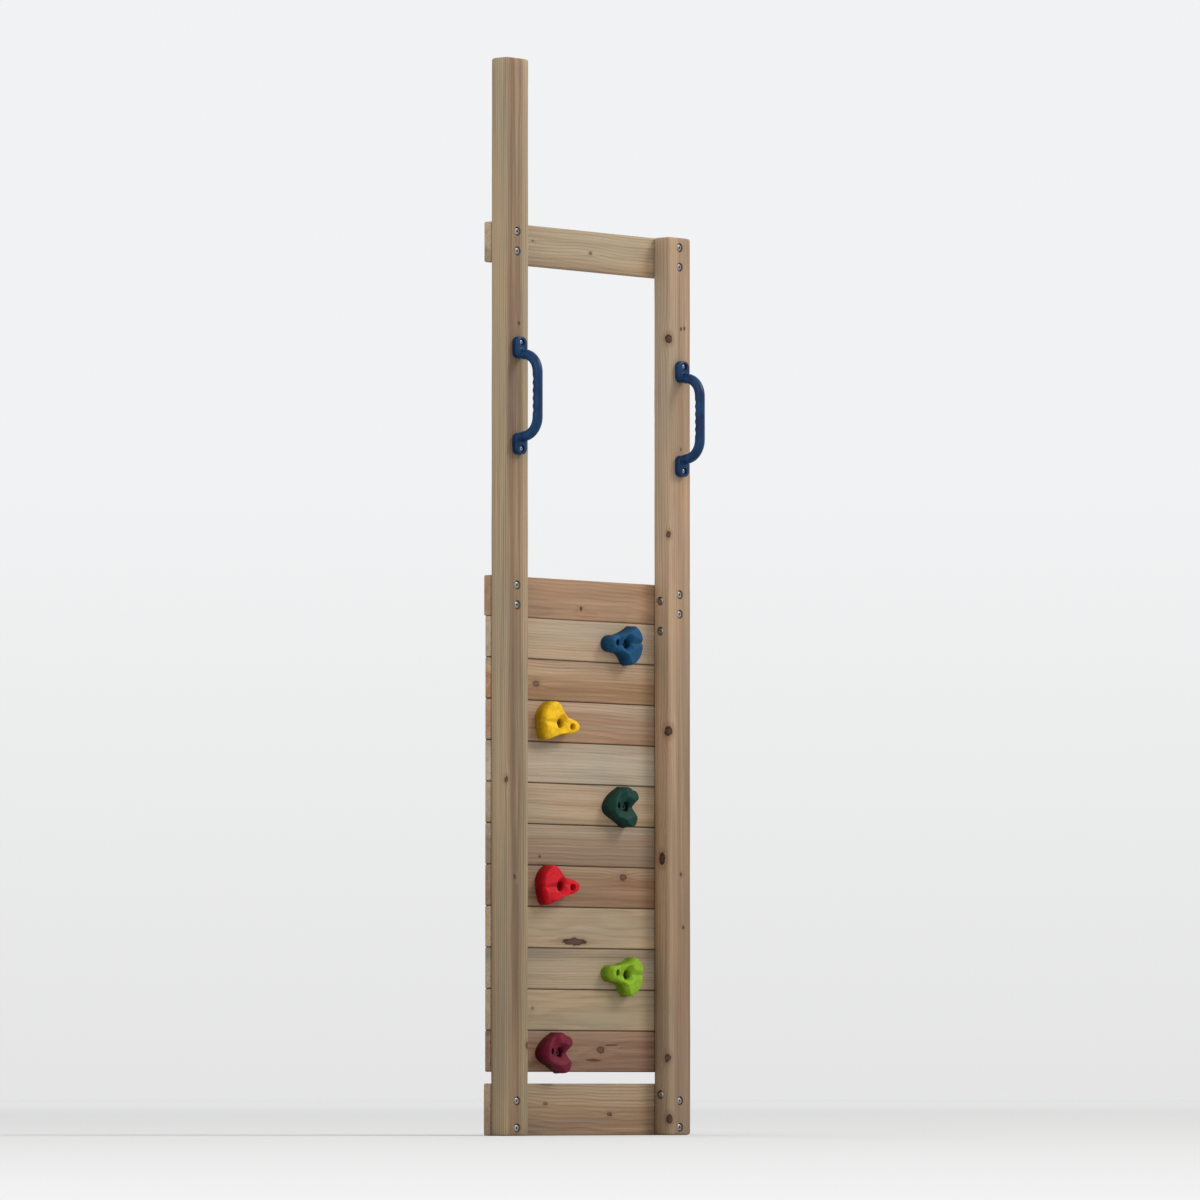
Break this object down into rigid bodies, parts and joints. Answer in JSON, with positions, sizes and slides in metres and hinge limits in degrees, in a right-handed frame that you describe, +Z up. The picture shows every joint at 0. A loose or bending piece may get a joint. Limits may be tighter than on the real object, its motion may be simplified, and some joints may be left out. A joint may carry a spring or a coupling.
{
  "type": "rock climbing wall",
  "caption": "Timber climbing wall bay for a play tower: horizontal boards behind two posts, with bolted moulded holds, safety grips, rim board and top rail.",
  "frame": {"origin": "middle of the base board's underside, at ground level", "axes": "+Z up the posts; +X from the tall left post to the shorter right post; -Y towards the climber, +Y to the back of the wall"},
  "size_m": [0.5913, 0.1467, 2.28],
  "materials": {
    "wood_post": "planed softwood, natural, eased arrises",
    "wood_tan": "planed softwood board, light tan",
    "wood_pink": "planed softwood board, pinkish-brown heartwood",
    "wood_brown": "planed softwood board, brown heartwood",
    "plastic_blue": "moulded, textured",
    "plastic_yellow": "moulded, textured",
    "plastic_dark_green": "moulded, textured",
    "plastic_red": "moulded, textured",
    "plastic_lime": "moulded, textured",
    "plastic_maroon": "moulded, textured",
    "plastic_grip": "moulded, satin",
    "steel": "zinc plated"
  },
  "bodies": {
    "root": {"base_board": "wood_brown", "base_bolt_left_lower": "steel", "base_bolt_left_upper": "steel", "base_bolt_right_lower": "steel", "base_bolt_right_upper": "steel", "handle_left": "plastic_grip", "handle_right": "plastic_grip", "handle_screw_left_lower": "steel", "handle_screw_left_upper": "steel", "handle_screw_right_lower": "steel", "handle_screw_right_upper": "steel", "hold_blue": "plastic_blue", "hold_bolt_blue": "steel", "hold_bolt_dark_green": "steel", "hold_bolt_lime": "steel", "hold_bolt_maroon": "steel", "hold_bolt_red": "steel", "hold_bolt_yellow": "steel", "hold_dark_green": "plastic_dark_green", "hold_lime": "plastic_lime", "hold_maroon": "plastic_maroon", "hold_red": "plastic_red", "hold_yellow": "plastic_yellow", "post_left": "wood_post", "post_right": "wood_post", "rail_bolt_left_lower": "steel", "rail_bolt_left_upper": "steel", "rail_bolt_right_lower": "steel", "rail_bolt_right_upper": "steel", "rim_board": "wood_pink", "rim_bolt_left_lower": "steel", "rim_bolt_left_upper": "steel", "rim_bolt_right_lower": "steel", "rim_bolt_right_upper": "steel", "t_nut_blue": "steel", "t_nut_dark_green": "steel", "t_nut_lime": "steel", "t_nut_maroon": "steel", "t_nut_red": "steel", "t_nut_yellow": "steel", "tie_bolt_foot": "steel", "tie_bolt_lower": "steel", "tie_bolt_upper": "steel", "top_rail": "wood_tan", "wall_board_01": "wood_pink", "wall_board_02": "wood_brown", "wall_board_03": "wood_tan", "wall_board_04": "wood_pink", "wall_board_05": "wood_brown", "wall_board_06": "wood_tan", "wall_board_07": "wood_pink", "wall_board_08": "wood_brown", "wall_board_09": "wood_tan", "wall_board_10": "wood_pink", "wall_board_11": "wood_brown"}
  },
  "joints": []
}
